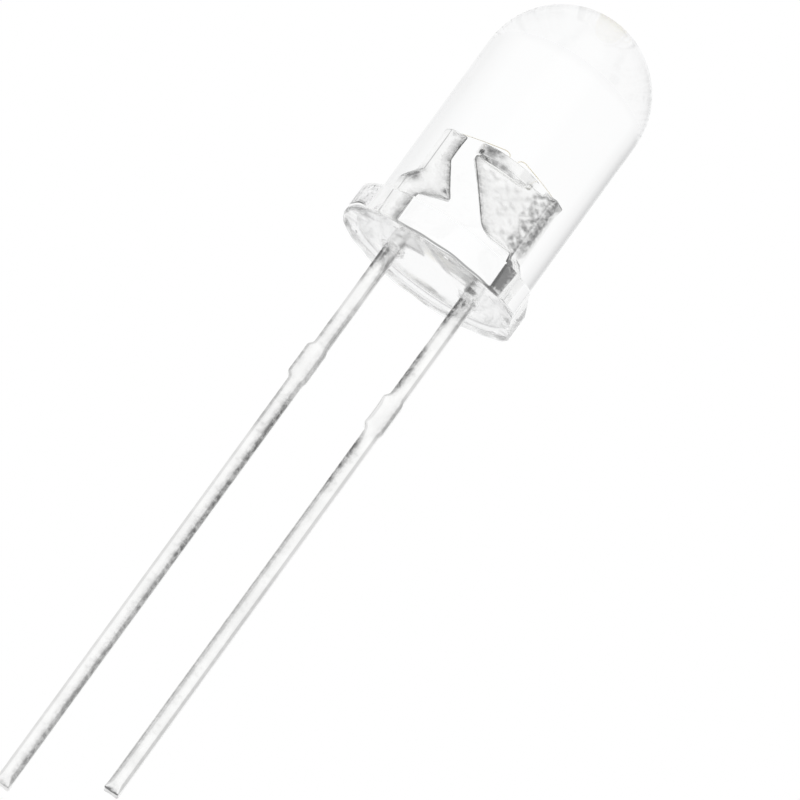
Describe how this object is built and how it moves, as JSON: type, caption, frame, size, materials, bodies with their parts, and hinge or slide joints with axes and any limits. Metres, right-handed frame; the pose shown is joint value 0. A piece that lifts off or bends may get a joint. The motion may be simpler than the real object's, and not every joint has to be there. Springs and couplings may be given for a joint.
{
  "type": "through hole led",
  "caption": "Round 5 mm through hole LED with a water-clear domed lens, a flange with a flat on the cathode side, and square leads with stand-off stoppers.",
  "frame": {"origin": "middle of the flange's underside, halfway between the two leads", "axes": "+Z along the lens axis towards the dome; X through both leads, with the cathode lead and the flange's flat at +X and the longer anode lead at -X; the light leaves along +Z"},
  "size_m": [0.0055, 0.0058, 0.0276],
  "materials": {
    "clear_epoxy": "gloss",
    "plated_steel": "satin",
    "chip": "gloss",
    "adhesive": "matte",
    "phosphor": "matte",
    "bond_wire": "polished"
  },
  "bodies": {
    "root": {"lens": "clear_epoxy", "anode_lead": "plated_steel", "cathode_lead": "plated_steel", "led_chip": "chip", "chip_adhesive": "adhesive", "phosphor_fill": "phosphor", "anode_bond_wire": "bond_wire", "cathode_bond_wire": "bond_wire"}
  },
  "joints": []
}
